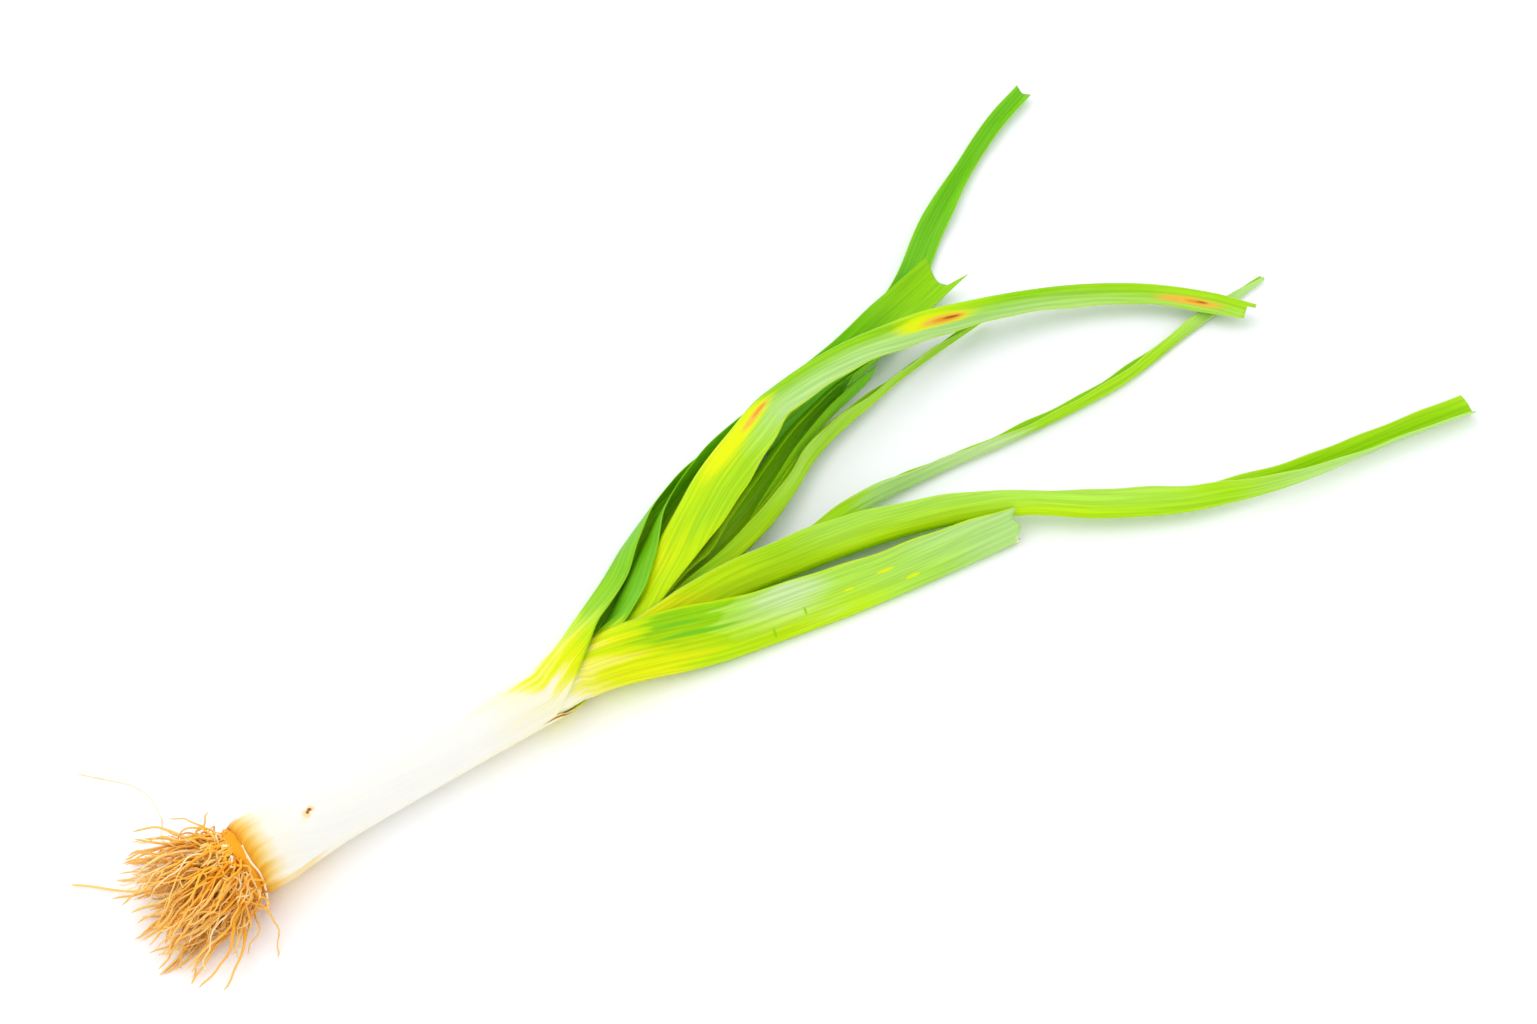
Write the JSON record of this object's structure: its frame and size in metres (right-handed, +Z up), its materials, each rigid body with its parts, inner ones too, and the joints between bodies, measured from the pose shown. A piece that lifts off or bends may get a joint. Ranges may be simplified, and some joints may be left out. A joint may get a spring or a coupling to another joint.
{
  "type": "leek",
  "caption": "Whole untrimmed leek lying on its side: a white shank with a root tuft, opening into long folded green leaves.",
  "frame": {"origin": "on the surface that the leek lies on, in the small flat under its swollen base", "axes": "+X along the shank from the roots towards the leaves, +Z up"},
  "size_m": [0.718, 0.3445, 0.0365],
  "materials": {
    "leaf": "leek leaf: white sheath, yellow-green to glaucous blade with a satin bloom",
    "root": "dry fibrous roots, ochre and cream"
  },
  "bodies": {
    "root": {"leaf_1": "leaf", "leaf_2": "leaf", "leaf_3": "leaf", "leaf_4": "leaf", "leaf_5": "leaf", "leaf_6": "leaf", "leaf_7": "leaf", "leaf_8": "leaf", "root_tuft": "root"}
  },
  "joints": []
}
